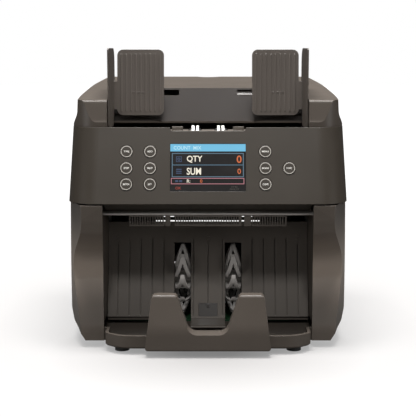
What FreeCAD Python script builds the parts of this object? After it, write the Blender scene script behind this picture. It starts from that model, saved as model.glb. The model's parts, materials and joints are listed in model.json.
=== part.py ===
"""Banknote counting machine: sloped key panel, hopper with two sliding note guides, open stacker pocket.

X runs across the machine, Y from its front (-Y) to its back, Z up. The origin is the bottom centre.
Lengths are millimetres. The spreadsheet "Sizes" drives every sketch, pad, extrusion and primitive.
"""
import FreeCAD, Part
import math
import os
import re
import Sketcher

V = FreeCAD.Vector
doc = FreeCAD.newDocument("banknote_counter")

# ---------------------------------------------------------------- driving dimensions
SIZES = [
    ("half_wide", 136.5, "half of the overall width, low on the side covers"),
    ("back_edge", 119, "rear face of the case"),
    ("skin", 3, "wall of the moulded covers"),
    ("foot_tall", 5.5, "height of the rubber feet"),
    ("base_half", 119, "half width of the base tray"),
    ("base_rim", 18.2, "height of the base tray's rim"),
    ("ear_top", 58.7, "top of the front cover's two ears"),
    ("lip_front", 110, "front of the base tray's lip"),
    ("tray_half", 103.2, "half width of the stacker pocket"),
    ("cheek_top", 140.4, "top of the cheeks beside the pocket"),
    ("cheek_inner", 105.2, "outer side of the pocket's side wall"),
    ("pocket_draft", 3.6, "how far the pocket narrows towards its mouth, each side"),
    ("panel_low", 142, "lower edge of the key panel"),
    ("panel_half_low", 135, "half width of the panel's lower edge"),
    ("panel_half_high", 132.5, "half width of the panel's upper edge"),
    ("hood_half", 126.3, "half width of the hood above its neck"),
    ("panel_high", 213, "upper edge of the key panel"),
    ("panel_low_front", 92, "how far the panel's lower edge stands forward"),
    ("panel_high_front", 68, "how far the panel's upper edge stands forward"),
    ("panel_back", 30, "joint between panel and side covers"),
    ("panel_round", 28, "corner radius of the panel in plan"),
    ("hopper_half", 97.8, "half width of the hopper"),
    ("hood_back", 119, "rear edge of the top cover"),
    ("hood_front", 64, "front of the top cover"),
    ("crease_y", 20, "crease between backrest and hood"),
    ("crease_z", 247.4, "height of the crease"),
    ("rest_foot_y", -5, "foot of the backrest"),
    ("rest_foot_z", 215, "height of the backrest's foot"),
    ("plate_top", 110, "top of the stacker plate"),
    ("plate_foot_y", -30, "foot of the stacker plate"),
    ("plate_foot_z", 15.4, "height of the stacker plate's foot"),
    ("frame_gap", 108.5, "inner side of the mechanism's side frames"),
    ("frame_thick", 2, "sheet of the side frames"),
    ("shaft_r", 4, "radius of the transport shafts"),
    ("fit", 0.05, "running clearance on a radius"),
    ("feed_y", -8, "pick-up shaft"),
    ("feed_z", 193, "pick-up shaft"),
    ("feed_r", 17.5, "pick-up tyres"),
    ("drum_y", 48, "feed drum's shaft"),
    ("drum_z", 132, "feed drum's shaft"),
    ("drum_r", 28, "feed drum"),
    ("stack_y", 4, "stacker shaft"),
    ("stack_z", 50, "stacker shaft"),
    ("stack_r", 38, "stacker blades' tips"),
    ("stack_x", 26, "centre of each stacker wheel"),
    ("stack_half", 8, "half width of a stacker wheel"),
    ("motor_y", 60, "both motors"),
    ("motor_z", 46, "both motors"),
    ("motor_r", 24, "both motors"),
    ("pulley_in", 112.5, "inner side of the pulleys"),
    ("pulley_out", 118.5, "outer side of the pulleys"),
    ("door_half", 111, "half width of the rear door"),
    ("door_low", 62.5, "lower edge of the rear door"),
    ("door_high", 246, "upper edge of the rear door"),
    ("hinge_y", 119, "rear door's hinge"),
    ("hinge_z", 61, "rear door's hinge"),
    ("fence_x", 95.8, "inner face of a note guide's fence"),
    ("guide_top", 288.4, "top of the note guides"),
    ("pinion_z", 231, "rack pinion's centre"),
    ("pinion_y", 31, "middle of the racks"),
    ("tooth_module", 1, "module of racks and pinion"),
    ("tooth_count", 16, "pinion teeth"),
    ("key_r", 6, "key caps"),
]
sheet = doc.addObject("Spreadsheet::Sheet", "Sizes")
for row, (alias, size, meaning) in enumerate(SIZES, start=1):
    sheet.set(f"A{row}", meaning)
    sheet.set(f"B{row}", str(size))
    sheet.setAlias(f"B{row}", alias)
doc.recompute()
ALIASES = {alias for alias, _, _ in SIZES}


def bind(text):
    """The expression with every alias written as the sheet's own."""
    return re.sub(r"[a-z_]+", lambda word: "Sizes." + word[0] if word[0] in ALIASES else word[0], text)


def value(size):
    """A plain number, or the present value of an expression."""
    return float(sheet.evalExpression(bind(size))) if isinstance(size, str) else float(size)


def minus(size):
    """The same size with its sign changed."""
    return f"-({size})" if isinstance(size, str) else -size


def bound(thing, prop, size):
    """Give a property its size, as an expression where the size is one."""
    if isinstance(size, str):
        thing.setExpression(prop, bind(size))
    else:
        thing.setExpression(prop, repr(float(size)))


# ---------------------------------------------------------------- sketches
def disc(x, y, r):
    """A circle in a sketch."""
    return {"x": x, "y": y, "r": r}


def block(x0, x1, y0, y1, r=0):
    """A rectangle in a sketch, with rounded corners where r is given."""
    return [(x0, y0, r), (x1, y0, r), (x1, y1, r), (x0, y1, r)]


def mirrored(points):
    """A half outline, drawn upwards on the right, closed by its reflection on the left."""
    return points + [(minus(p[0]), *p[1:]) for p in reversed(points)]


def draw(sketch, outline):
    """Add a circle, or a closed run of straight sides whose corners may be rounded (x, y, radius)."""
    limits = []

    def fix(kind, *args):
        size = args[-1]
        limits.append((Sketcher.Constraint(kind, *args[:-1], value(size)), size))

    def tie(kind, *args):
        limits.append((Sketcher.Constraint(kind, *args), None))

    if isinstance(outline, dict):
        middle = V(value(outline["x"]), value(outline["y"]), 0)
        ring = sketch.addGeometry(Part.Circle(middle, V(0, 0, 1), value(outline["r"])))
        fix("DistanceX", -1, 1, ring, 3, outline["x"])
        fix("DistanceY", -1, 1, ring, 3, outline["y"])
        fix("Radius", ring, outline["r"])
    else:
        draw_sides(sketch, outline, fix, tie)
    places = sketch.addConstraint([limit for limit, _ in limits])
    for place, (_, size) in zip(places, limits):
        if isinstance(size, str):
            sketch.setExpression(f"Constraints[{place}]", bind(size))


def draw_sides(sketch, corners, fix, tie):
    count = len(corners)
    at = [V(value(c[0]), value(c[1]), 0) for c in corners]
    radius = [value(c[2]) if len(c) > 2 else 0 for c in corners]
    back = [(at[i - 1] - at[i]).normalize() for i in range(count)]
    onward = [(at[(i + 1) % count] - at[i]).normalize() for i in range(count)]
    half = [back[i].getAngle(onward[i]) / 2 for i in range(count)]
    trim = [radius[i] / math.tan(half[i]) if radius[i] else 0 for i in range(count)]
    enter = [at[i] + back[i] * trim[i] for i in range(count)]
    leave = [at[i] + onward[i] * trim[i] for i in range(count)]
    sides = []
    for i in range(count):
        sides.append(sketch.addGeometry(Part.LineSegment(leave[i], enter[(i + 1) % count])))
    for i, corner in enumerate(corners):
        before = sides[i - 1]
        after = sides[i]
        if not radius[i]:
            tie("Coincident", before, 2, after, 1)
            fix("DistanceX", -1, 1, after, 1, corner[0])
            fix("DistanceY", -1, 1, after, 1, corner[1])
            continue
        middle = at[i] + (back[i] + onward[i]).normalize() * (radius[i] / math.sin(half[i]))
        angles = [math.atan2(p.y - middle.y, p.x - middle.x) for p in (enter[i], leave[i])]
        left_turn = back[i].cross(onward[i]).z < 0
        start, stop = angles if left_turn else angles[::-1]
        if stop < start:
            stop += 2 * math.pi
        circle = Part.Circle(middle, V(0, 0, 1), radius[i])
        arc = sketch.addGeometry(Part.ArcOfCircle(circle, start, stop))
        tip = sketch.addGeometry(Part.Point(at[i]), True)
        fix("DistanceX", -1, 1, tip, 1, corner[0])
        fix("DistanceY", -1, 1, tip, 1, corner[1])
        tie("PointOnObject", tip, 1, before)
        tie("PointOnObject", tip, 1, after)
        tie("Tangent", before, 2, arc, 1 if left_turn else 2)
        tie("Tangent", arc, 2 if left_turn else 1, after, 1)
        fix("Radius", arc, corner[2])


# ---------------------------------------------------------------- solids
AXES = {"XY": V(0, 0, 1), "XZ": V(0, 1, 0), "YZ": V(1, 0, 0)}
TURNS = {
    "XY": FreeCAD.Rotation(),
    "XZ": FreeCAD.Rotation(V(1, 0, 0), 90),
    "YZ": FreeCAD.Rotation(V(1, 1, 1), 120),
}
ALONG = {"XY": "z", "XZ": "y", "YZ": "x"}
NODES = {}


def node(name, thing):
    """Name a finished piece, which makes it one of the files written at the end."""
    thing.Label = name
    NODES[name] = thing
    return thing


def outlines(shape):
    """One outline or a list of them, as a list."""
    return [shape] if isinstance(shape, dict) or isinstance(shape[0], tuple) else shape


def slab(name, plane, shape, low, high):
    """A sketch on an origin plane, extruded along the plane's axis from low to high."""
    sketch = doc.addObject("Sketcher::SketchObject", name + "_outline")
    sketch.Placement = FreeCAD.Placement(V(0, 0, 0), TURNS[plane])
    bound(sketch, f"Placement.Base.{ALONG[plane]}", low)
    for outline in outlines(shape):
        draw(sketch, outline)
    solid = doc.addObject("Part::Extrusion", name)
    solid.Base = sketch
    solid.DirMode = "Custom"
    solid.Dir = AXES[plane]
    solid.Solid = True
    bound(solid, "LengthFwd", f"({high}) - ({low})")
    return solid


def rod(name, axis, at, radius, low, high):
    """A cylinder along X, Y or Z through the point that at gives by its other two coordinates."""
    solid = doc.addObject("Part::Cylinder", name)
    turn = {"X": FreeCAD.Rotation(V(0, 1, 0), 90), "Y": FreeCAD.Rotation(V(1, 0, 0), -90),
            "Z": FreeCAD.Rotation()}[axis]
    solid.Placement = FreeCAD.Placement(V(0, 0, 0), turn)
    others = [a for a in "xyz" if a != axis.lower()]
    bound(solid, "Radius", radius)
    bound(solid, "Height", f"({high}) - ({low})")
    bound(solid, f"Placement.Base.{axis.lower()}", low)
    for letter, place in zip(others, at):
        bound(solid, f"Placement.Base.{letter}", place)
    return solid


def crate(name, x, y, z):
    """A box from three (low, high) pairs."""
    solid = doc.addObject("Part::Box", name)
    for prop, letter, (low, high) in zip(("Length", "Width", "Height"), "xyz", (x, y, z)):
        bound(solid, prop, f"({high}) - ({low})")
        bound(solid, f"Placement.Base.{letter}", low)
    return solid


def fused(name, *parts):
    solid = doc.addObject("Part::MultiFuse", name)
    solid.Shapes = list(parts)
    return solid


def shared(name, *parts):
    solid = doc.addObject("Part::MultiCommon", name)
    solid.Shapes = list(parts)
    return solid


def less(name, base, *tools):
    solid = doc.addObject("Part::Cut", name)
    solid.Base = base
    solid.Tool = tools[0] if len(tools) == 1 else fused(name + "_tools", *tools)
    return solid


def group(name, *parts):
    """Several separate solids in one node."""
    solid = doc.addObject("Part::Compound", name)
    solid.Links = list(parts)
    return solid


def reflection(name, base):
    """The same solid on the other side of the YZ plane."""
    solid = doc.addObject("Part::Mirroring", name)
    solid.Source = base
    solid.Normal = V(1, 0, 0)
    return solid


def formed(name, shape):
    """A piece whose shape is worked out by its own function."""
    solid = doc.addObject("Part::Feature", name)
    solid.Shape = shape
    return solid


class Moulding:
    """One PartDesign body, built feature by feature from sketches on its origin planes."""

    def __init__(self, name):
        self.name = name
        self.steps = 0
        self.body = node(name, doc.addObject("PartDesign::Body", name))

    def place(self, **where):
        for letter, size in where.items():
            bound(self.body, f"Placement.Base.{letter}", size)
        return self

    def sketch(self, plane, shape, at):
        """A sketch on an origin plane, moved by at along the plane's own axis."""
        self.steps += 1
        sketch = self.body.newObject("Sketcher::SketchObject", f"{self.name}_sketch{self.steps}")
        origin = [f for f in self.body.Origin.OriginFeatures if f.Role == plane + "_Plane"][0]
        sketch.AttachmentSupport = [(origin, "")]
        sketch.MapMode = "FlatFace"
        bound(sketch, "AttachmentOffset.Base.z", minus(at) if plane == "XZ" else at)
        for outline in outlines(shape):
            draw(sketch, outline)
        return sketch

    def feature(self, kind, **links):
        thing = self.body.newObject(f"PartDesign::{kind}", f"{self.name}_{kind}{self.steps}".lower())
        for prop, link in links.items():
            setattr(thing, prop, link)
        return thing

    def pad(self, plane, shape, low, high):
        """The XZ plane faces -Y, so a pad there starts at its high side."""
        sketch = self.sketch(plane, shape, high if plane == "XZ" else low)
        pad = self.feature("Pad", Profile=sketch)
        bound(pad, "Length", f"({high}) - ({low})")
        return pad

    def cut(self, plane, shape, low, high):
        """A pocket runs against its plane's axis, so it starts at its high side, or low on XZ."""
        sketch = self.sketch(plane, shape, low if plane == "XZ" else high)
        pocket = self.feature("Pocket", Profile=sketch)
        bound(pocket, "Length", f"({high}) - ({low})")
        doc.recompute()
        CUTS.append(pocket)
        return pocket

    def row(self, feature, axis, length, count):
        """Repeat a feature in a straight line along an origin axis."""
        pattern = self.feature("LinearPattern", Originals=[feature], Occurrences=count)
        line = [f for f in self.body.Origin.OriginFeatures if f.Role == axis + "_Axis"][0]
        pattern.Direction = (line, [""])
        bound(pattern, "Length", length)
        self.body.Tip = pattern
        return pattern

    def fillet(self, radius, wanted, kind="Fillet"):
        """Round or bevel the edges that wanted picks out by their box."""
        doc.recompute()
        tip = self.body.Tip
        edges = [f"Edge{n}" for n, e in enumerate(tip.Shape.Edges, 1) if wanted(e.BoundBox)]
        edging = self.feature(kind, Base=(tip, edges))
        bound(edging, "Radius" if kind == "Fillet" else "Size", radius)
        return edging


CUTS = []


# ---------------------------------------------------------------- case
def base_tray():
    """Shallow pan that carries everything, with a lip in front of the pocket."""
    rim = [("base_half", "back_edge - 0.2"), ("base_half", -78.6), (98.9, -78.6), (98.9, -97, 6),
           (84, "-lip_front", 30)]
    well = [("base_half - skin", "back_edge - skin"), ("base_half - skin", -75.6), (95.9, -75.6),
            (95.9, -95.6, 4), (82.9, "skin - lip_front", 27)]
    tray = Moulding("base_tray")
    tray.pad("XY", mirrored(rim[::-1]), "foot_tall", "base_rim")
    tray.cut("XY", mirrored(well[::-1]), "foot_tall + skin", "base_rim")
    for x in (-76, 40):
        vent = tray.cut("XY", block(x, x + 36, 44, 47, 1.4), "foot_tall", "foot_tall + skin")
        tray.row(vent, "Y", 56, 9)
    for x in (-88, 88):
        for y in (50, 92):
            post = disc(x, y, 4.5)
            tray.pad("XY", post, "foot_tall + 2", "base_rim - 3")
            tray.cut("XY", disc(x, y, 1.6), "foot_tall + 2", "base_rim - 3")
    under = value("foot_tall") + 0.1
    tray.fillet(1.6, lambda b: b.ZMax < under and b.YMax < -109, "Chamfer")


def rubber_feet():
    feet = []
    for number, (x, y) in enumerate([(-83, -92), (83, -92), (-96, 100), (96, 100)], 1):
        pad = rod(f"foot_{number}", "Z", (x, y), 7, 0, "foot_tall")
        feet.append(pad)
    node("rubber_feet", group("rubber_feet", *feet))


def case_screws():
    """Round-headed screws that hold the rear panel and the door's hinge plates."""
    screws = []
    for number, (x, z) in enumerate([(-105, 13), (105, 13), (-105, 52), (105, 52)], 1):
        head = rod(f"screw_head_{number}", "Y", (x, z), 3, "back_edge", "back_edge + 1.6")
        socket = rod(f"screw_socket_{number}", "Y", (x, z), 1.3, "back_edge + 0.7", "back_edge + 2")
        screws.append(less(f"screw_{number}", head, socket))
    node("case_screws", group("case_screws", *screws))


def stacker_front_cover():
    """Cover over the front lip: two leaning ears with a finger gap between them."""
    half = [(59.6, "foot_tall + 0.8", 3), (53, "ear_top", 4), (29.8, "ear_top", 3.5), (17.5, 22, 10)]
    inner = [(56.6, "foot_tall + 3.8", 1), (50.6, "ear_top - 2.6", 2), (31.5, "ear_top - 2.6", 1.5), (19.6, 19.4, 8)]
    side = [(-121.9, "foot_tall + 0.8", 2), (-121.4, 26, 60), (-114, "ear_top + 0.2", 3),
            (-100, "ear_top + 0.2"), (-100, 4.5)]
    hollow = [(-119, 7), (-118.6, 26, 57), (-111.4, "ear_top - 2"), (-90, "ear_top - 2"), (-90, 7)]
    over_lip = crate("over_lip", (-70, 70), ("-lip_front - 0.4", -90), (0, "base_rim + 0.4"))
    outer = shared("cover_outer", slab("cover_face", "XZ", mirrored(half), -122, -103),
                   slab("cover_side", "YZ", side, -61, 61))
    inside = shared("cover_inside", slab("cover_well", "XZ", mirrored(inner), -122, -90),
                    slab("cover_hollow", "YZ", hollow, -61, 61))
    node("stacker_front_cover", less("stacker_front_cover", outer, inside, over_lip))


def side_covers():
    """Cheek, side wall and pocket wall in one moulding; the left one is its mirror image."""
    mouth = "tray_half - pocket_draft"
    plan = [(mouth, -100), (117.6, -100, 6), ("half_wide", -51.5, 20), ("half_wide", "back_edge", 12),
            ("tray_half", "back_edge"), ("tray_half", -64)]
    sole = [("base_half + 0.3", 7), (123, 12.5, 8), (127, 17.5), (132.5, 21.5, 6), ("half_wide", 34, 20),
            ("half_wide", 62, 200)]
    # in front of the tray's shoulder the cheek's foot comes down beside the lip
    toe = [(mouth, "base_rim + 0.3"), (101, "base_rim + 0.3"), (101, 7)] + sole
    foot = [(mouth, "base_rim + 0.3"), ("base_half + 0.3", "base_rim + 0.3")] + sole
    brow = [("panel_half_low", "cheek_top", 9), (mouth, "cheek_top")]
    shoulder = [("panel_half_low", "cheek_top"), (mouth, "cheek_top")]
    wall = [("panel_half_high", "panel_high"), (mouth, "panel_high")]
    faces = fused("cheek_faces", slab("toe_face", "XZ", toe + brow, -130, -80),
                  slab("cheek_face", "XZ", foot + brow, -80, -64),
                  slab("shoulder_face", "XZ", foot + shoulder, -64, "-panel_back"),
                  slab("wall_face", "XZ", foot + wall, "-panel_back", 130))
    # the cheeks are scooped: they lean back above the foot and come forward again under the panel
    side = [(-86, 5), (-83.5, 18, 40), (-57, 82, 30), (-92.5, 117.5, 22), (-92.5, "cheek_top"),
            ("-panel_back", "cheek_top"), ("-panel_back", "panel_high"), (130, "panel_high"), (130, 5)]
    outer = shared("cheek_outer", slab("cheek_plan", "XY", plan, 4, 220), faces,
                   slab("cheek_side", "YZ", side, 90, 140))
    rear = "back_edge - skin"
    plan_in = [("cheek_inner - pocket_draft", -96), (115.9, -96), ("half_wide - skin", -50.9, 17),
               ("half_wide - skin", rear, 9), (90, rear), (90, 0), ("cheek_inner", 0), ("cheek_inner", -64)]
    face_in = [(80, 13.5), (119, 15.5), (129.5, 25.4, 4), ("half_wide - skin", 36, 16),
               ("half_wide - skin", 62, 200), ("panel_half_high - skin", "panel_high"),
               ("panel_half_high - skin", 240), (80, 240)]
    side_in = [(-83, 5), (-80.6, 17.2, 37), (-53.5, 82.7, 33), (-89.5, 118.7, 19),
               (-89.5, "cheek_top - skin"), ("-panel_back - 2", "cheek_top - skin"), ("-panel_back - 2", 240), (130, 240), (130, 5)]
    void = shared("cheek_void", slab("void_plan", "XY", plan_in, 4, 240),
                  slab("void_face", "XZ", face_in, -130, 130), slab("void_side", "YZ", side_in, 80, 140))
    door_way = crate("door_way", (90, "door_half + 2"), (0, 130), (4, 240))
    above = crate("above_pocket", (90, "cheek_inner + 1"), ("-panel_back - 1", 1), ("cheek_top", 240))
    # a row of slots lets the motors' warm air out
    slots = []
    for number in range(9):
        y = 30 + 8 * number
        slots.append(slab(f"vent_{number}", "YZ", block(y, y + 3, 38, 78, 1.4), 125, 140))
    right = less("right_side_cover", outer, void, door_way, above, *slots)
    node("right_side_cover", right)
    node("left_side_cover", reflection("left_side_cover", right))


# The key panel leans back: along is a distance up its face, out a distance off its face.
SLOPE = math.atan2(value("panel_low_front - panel_high_front"), value("panel_high - panel_low"))


def on_panel(along, out=0):
    """The (y, z) of a point on the panel's face."""
    y = -value("panel_low_front") + along * math.sin(SLOPE) - out * math.cos(SLOPE)
    z = value("panel_low") + along * math.cos(SLOPE) + out * math.sin(SLOPE)
    return y, z


def strip(low, high, inner, outer):
    """Side outline of something that lies parallel to the panel's face."""
    return [on_panel(low, outer), on_panel(high, outer), on_panel(high, inner), on_panel(low, inner)]


def leaning(name, x, low, high, inner, outer):
    """A plate parallel to the panel's face."""
    return slab(name, "YZ", strip(low, high, inner, outer), *x)


def button(name, radius, x, along, inner, outer):
    """A cylinder that stands square on the panel's face."""
    solid = doc.addObject("Part::Cylinder", name)
    solid.Placement = FreeCAD.Placement(V(x, *on_panel(along, inner)),
                                        FreeCAD.Rotation(V(1, 0, 0), 90 - math.degrees(SLOPE)))
    bound(solid, "Radius", radius)
    solid.Height = outer - inner
    return solid


KEY_ROWS = (51.3, 35, 19.3)
KEYS = [
    ("key_currency", -78, 0), ("key_step", -78, 1), ("key_batch", -78, 2),
    ("key_add", -55.4, 0), ("key_print", -55.4, 1), ("key_settings", -55.4, 2),
    ("key_menu", 54.8, 0), ("key_mode", 54.8, 1), ("key_clear", 54.8, 2), ("key_start", 77.6, 1),
]
SCREEN_HALF = 36.2
SCREEN_LOW = 12.4
SCREEN_HIGH = 58.9


def front_panel():
    def shell(name, inset, low, high, back):
        """Loft between two levels of the panel's plan, with every wall moved in by inset."""
        rings = []
        for level in (low, high):
            rise = f"(({level}) - panel_low) / (panel_high - panel_low)"
            front = f"{inset} - panel_low_front + {rise} * (panel_low_front - panel_high_front)"
            half = f"panel_half_low - {rise} * (panel_half_low - panel_half_high) - {inset}"
            sketch = doc.addObject("Sketcher::SketchObject", name + "_ring")
            bound(sketch, "Placement.Base.z", level)
            draw(sketch, mirrored([(half, front, f"panel_round - {inset}"), (half, back)]))
            rings.append(sketch)
        loft = doc.addObject("Part::Loft", name)
        loft.Sections = rings
        loft.Solid = True
        loft.Ruled = True
        return loft

    outer = shell("panel_outer", 0, "panel_low", "panel_high", "-panel_back")
    inner = shell("panel_inner", 3, "panel_low - 3", "panel_high + 3", "10 - panel_back")
    sill = [(-91.6, "panel_low"), (-60, "panel_low - 10.5"), (-57, "panel_low - 10.5"),
            (-57, "panel_low - 7.5"), (-88.6, "panel_low + 3.2")]
    under = slab("panel_under", "YZ", sill, "pocket_draft - tray_half", "tray_half - pocket_draft")
    walls = less("panel_walls", outer, inner)
    window = leaning("window_way", (-SCREEN_HALF, SCREEN_HALF), SCREEN_LOW, SCREEN_HIGH, -6, 4)
    dip = "panel_high - 3.4"
    notch = slab("panel_notch", "XZ", [(-36.5, 220), (-36.5, dip, 2.5), (36.5, dip, 2.5), (36.5, 220)], -80, -50)
    holes = [button(name + "_way", "key_r + 0.3", x, KEY_ROWS[row], -6, 4) for name, x, row in KEYS]
    node("front_panel", less("front_panel", fused("panel_solid", walls, under), window, notch, *holes))


def keys():
    """Round key caps, each with a flange behind the panel that stops it falling out."""
    for name, x, row in KEYS:
        cap = button(name + "_cap", "key_r", x, KEY_ROWS[row], -3.2, 0.5)
        rim = doc.addObject("Part::Chamfer", name + "_rim")
        doc.recompute()
        top = [n for n, e in enumerate(cap.Shape.Edges, 1)
               if e.Length > 20 and abs(e.CenterOfMass.z - on_panel(KEY_ROWS[row], 0.5)[1]) < 0.05]
        rim.Base = cap
        rim.Edges = [(n, 0.3, 0.3) for n in top]
        flange = button(name + "_flange", "key_r + 1.3", x, KEY_ROWS[row], -4.4, -3.15)
        stem = button(name + "_stem", 1.6, x, KEY_ROWS[row], -5.4, -4.3)
        node(name, fused(name, rim, flange, stem))


def display():
    half = SCREEN_HALF - 0.15
    lens = leaning("display_lens", (-half, half), SCREEN_LOW + 0.15, SCREEN_HIGH - 0.15, -1.6, -0.3)
    node("display_lens", lens)
    module = leaning("display_module", (-40, 40), 9, 62, -7, -3.1)
    lift = leaning("module_face", (-half, half), SCREEN_LOW + 0.3, SCREEN_HIGH - 0.3, -3.2, -1.65)
    node("display_module", fused("display_module", module, lift))


def key_board():
    """Circuit board behind the keys with one dome switch for each."""
    board = leaning("key_board_plate", (-90, 90), 8, 64, -9.4, -7.8)
    switches = []
    for name, x, row in KEYS:
        switches.append(button(name + "_switch", 3, x, KEY_ROWS[row], -7.9, -6.6))
    node("key_board", fused("key_board", board, *switches))


def top_cover():
    """Hood with the hopper cut into its front, a leaning backrest and two slots for the guides."""
    def hood(name, inset, low):
        front = f"{inset} - hood_front"
        back = f"hood_back - {inset}"
        plan = mirrored([(f"panel_half_high - {inset}", front, f"26 - {inset}"),
                         (f"panel_half_high - {inset}", back, f"14 - {inset}")])
        side = [(-66 + inset, low), (-63.5 + inset, 219, 14), (-60 + inset, 238.7 - inset, 3),
                ("crease_y", f"crease_z - {inset}"), ("hood_back + 1", f"256.5 - {inset}"),
                ("hood_back + 1", low)]
        face = mirrored([(f"panel_half_high - {inset}", low), (f"panel_half_high - {inset}", 214.5, 2),
                         (f"hood_half + 1 - {inset}", 225, 16), (f"hood_half - {inset}", f"242 - {inset}", 4),
                         (f"hood_half - 5 - {inset}", f"250 - {inset}", 14),
                         (f"hood_half - 16 - {inset}", f"257.2 - {inset}", 18)])
        return shared(name, slab(name + "_plan", "XY", plan, low, 262),
                      slab(name + "_side", "YZ", side, -136, 136),
                      slab(name + "_face", "XZ", face, -90, 125))

    def bay(name, grow):
        """The hopper's space, grown by a wall on its sides and behind its backrest."""
        side = [(-90, 200), (-90, 270), (f"crease_y + {grow}", 270), (f"crease_y + {grow}", "crease_z"),
                (f"rest_foot_y + {grow}", "rest_foot_z"), (f"rest_foot_y + {grow}", 200)]
        return slab(name, "YZ", side, f"-hopper_half - {grow}", f"hopper_half + {grow}")

    void = less("hood_void", hood("hood_inside", 2.6, 205), bay("bay_wall", 2.6))
    mouths = [slab("slot_right", "XZ", block(30, 92, 240, 245.6, 1), 8, 27),
              slab("slot_left", "XZ", block(-92, -30, 240, 245.6, 1), 8, 27)]
    door = crate("hood_door_way", ("-door_half - 0.6", "door_half + 0.6"), (100, 125), (205, "door_high + 0.8"))
    lens = formed("grip_scoop", Part.makeSphere(26, V(0, 133, 274)))
    # towards its sides the backrest's lower edge rises, with a recess below it
    arch = [(47, 212), ("hopper_half - 0.4", 212), ("hopper_half - 0.4", 221.5), (81, 221.5), (47, 215)]
    arches = fused("arches", slab("arch_right", "XZ", arch, -12, 14),
                   slab("arch_left", "XZ", [(minus(x), z) for x, z in arch], -12, 14))
    depth = [(-12, 210), (-3.6, 210), (-3.6, "rest_foot_z"), (4.1, 225), (-12, 225)]
    recess = shared("arch_recess", arches, slab("arch_depth", "YZ", depth, -100, 100))
    cover = less("hood_cut", hood("hood_outside", 0, "panel_high"), void, bay("bay_space", 0), door,
                 lens, recess, *mouths)
    stud = rod("pinion_stud", "Y", (0, "pinion_z"), 2, 9, "pinion_y + 4")
    collar = rod("pinion_collar", "Y", (0, "pinion_z"), 4.5, 9, "pinion_y - 3.2")
    node("top_cover", fused("top_cover", cover, less("stud_trim", fused("stud_whole", stud, collar),
                                                     bay("bay_again", 0.5))))


def hopper_floor():
    """Plate under the notes, with two ways for the pick-up tyres."""
    floor = Moulding("hopper_floor")
    side = [(-66, 204.6), (-66, 207.2), (-10, 206.8), (12, 204.4), (12, 201.8), (-10, 204.2)]
    floor.pad("YZ", side, "0.5 - hopper_half", "hopper_half - 0.5")
    floor.cut("XY", [block(6.4, 19.8, -26, 9.5, 2), block(-19.8, -6.4, -26, 9.5, 2)], 195, 215)
    floor.pad("XY", [block(25, 36, -28, -22, 1), block(-36, -25, -28, -22, 1)], 205, 210.6)


# ---------------------------------------------------------------- stacker pocket
LEAN = (value("plate_top") - value("plate_foot_z")) / -value("plate_foot_y")


def on_plate(z, out=0):
    """The (y, z) of a point that stands out from the stacker plate's front face, measured along Y."""
    return ((z - value("plate_top")) / LEAN - out, z)


def stacker_plate():
    """Leaning plate with fine grooves that the counted notes rest against."""
    plate = Moulding("stacker_plate")
    toe = value("plate_foot_z")
    front = on_plate(toe)
    side = [on_plate(value("plate_top")), front, (-58, toe - 0.6), (-60, toe - 1.4, 0.8), (-60, toe - 2.6),
            (front[0] + 2.6, toe - 2.6), (front[0] + 2.6, toe), on_plate(value("plate_top"), -2.6)]
    plate.pad("YZ", side, "0.4 - tray_half", "tray_half - 0.4")
    wings = [block(17.3, 105, -62, -27.8, 1.5), block(-105, -17.3, -62, -27.8, 1.5)]
    plate.cut("XY", wings, 9, toe + 1)
    ways = [block("stack_x - 8.6", "stack_x + 8.6", 10, 89.4), block("-stack_x - 8.6", "8.6 - stack_x", 10, 89.4)]
    plate.cut("XZ", ways, -61, 5)

    def groove(top):
        return [on_plate(top, 1), on_plate(17.4, 1), on_plate(17.4, -1.8), on_plate(top, -1.8)]

    for start, length, count in ((-15.6, 30, 2), (45, 35.25, 4), (-81.45, 35.25, 4)):
        line = plate.cut("YZ", groove(93.2), start, start + 1.2)
        plate.row(line, "X", length, count)
    # three shorter grooves stop below a pair of small ridges
    for x in (-92.6, 0, 92.6):
        plate.cut("YZ", groove(87.9), x - 0.6, x + 0.6)
        for z in (92.4, 95.8):
            ridge = [on_plate(z + 0.6, 0.5), on_plate(z - 0.6, 0.5), on_plate(z - 0.6, -0.5),
                     on_plate(z + 0.6, -0.5)]
            plate.pad("YZ", ridge, x - 1.5, x + 1.5)
    window = [on_plate(29.6, 1), on_plate(16.6, 1), on_plate(16.6, -1.6), on_plate(29.6, -1.6)]
    plate.cut("YZ", window, -9.8, 9.8)


def stack_sensor():
    """Dark window with an infrared eye that sees notes in the pocket."""
    tile = [on_plate(29.4, -0.4), on_plate(16.8, -0.4), on_plate(16.8, -1.5), on_plate(29.4, -1.5)]
    pane = slab("sensor_pane", "YZ", tile, -9.6, 9.6)
    eye = rod("sensor_eye", "Y", (0, 26.8), 1.6, on_plate(26.8)[0] - 0.6, on_plate(26.8)[0] + 1)
    node("stack_sensor", fused("stack_sensor", pane, eye))


def exit_comb():
    """Ceiling of the pocket, ending in a fine comb in front of the notes' way out."""
    comb = Moulding("exit_comb")
    roof = [(-57.6, 126), (-57.6, 130.5), (-55, 131.3), (-4, 119.5), (-4, 117), (-55.4, 129)]
    comb.pad("YZ", roof, "0.6 - tray_half", "tray_half - 0.6")
    curtain = block(-58, -55.8, 115.2, 129)
    comb.pad("YZ", curtain, -77.5, 77.5)
    for x0, x1 in ((-43.6, -42), (-37, -32.6), (33, 35.6), (42.4, 43.4)):
        comb.cut("XZ", block(x0, x1, 114, 125.4), -60, -54)
    for start, length, count in ((-76.4, 30, 13), (-31.4, 60, 25), (44.2, 30, 13)):
        slit = comb.cut("XZ", block(start, start + 1.5, 117, 124.6), -60, -54)
        comb.row(slit, "X", length, count)


def exit_bar():
    """Steel rod that the notes slide over, held by the pocket's two side walls."""
    bar = rod("exit_bar", "X", (-61, 128.3), 2, "0.05 - tray_half", "tray_half - 0.05")
    node("exit_bar", bar)


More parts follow.
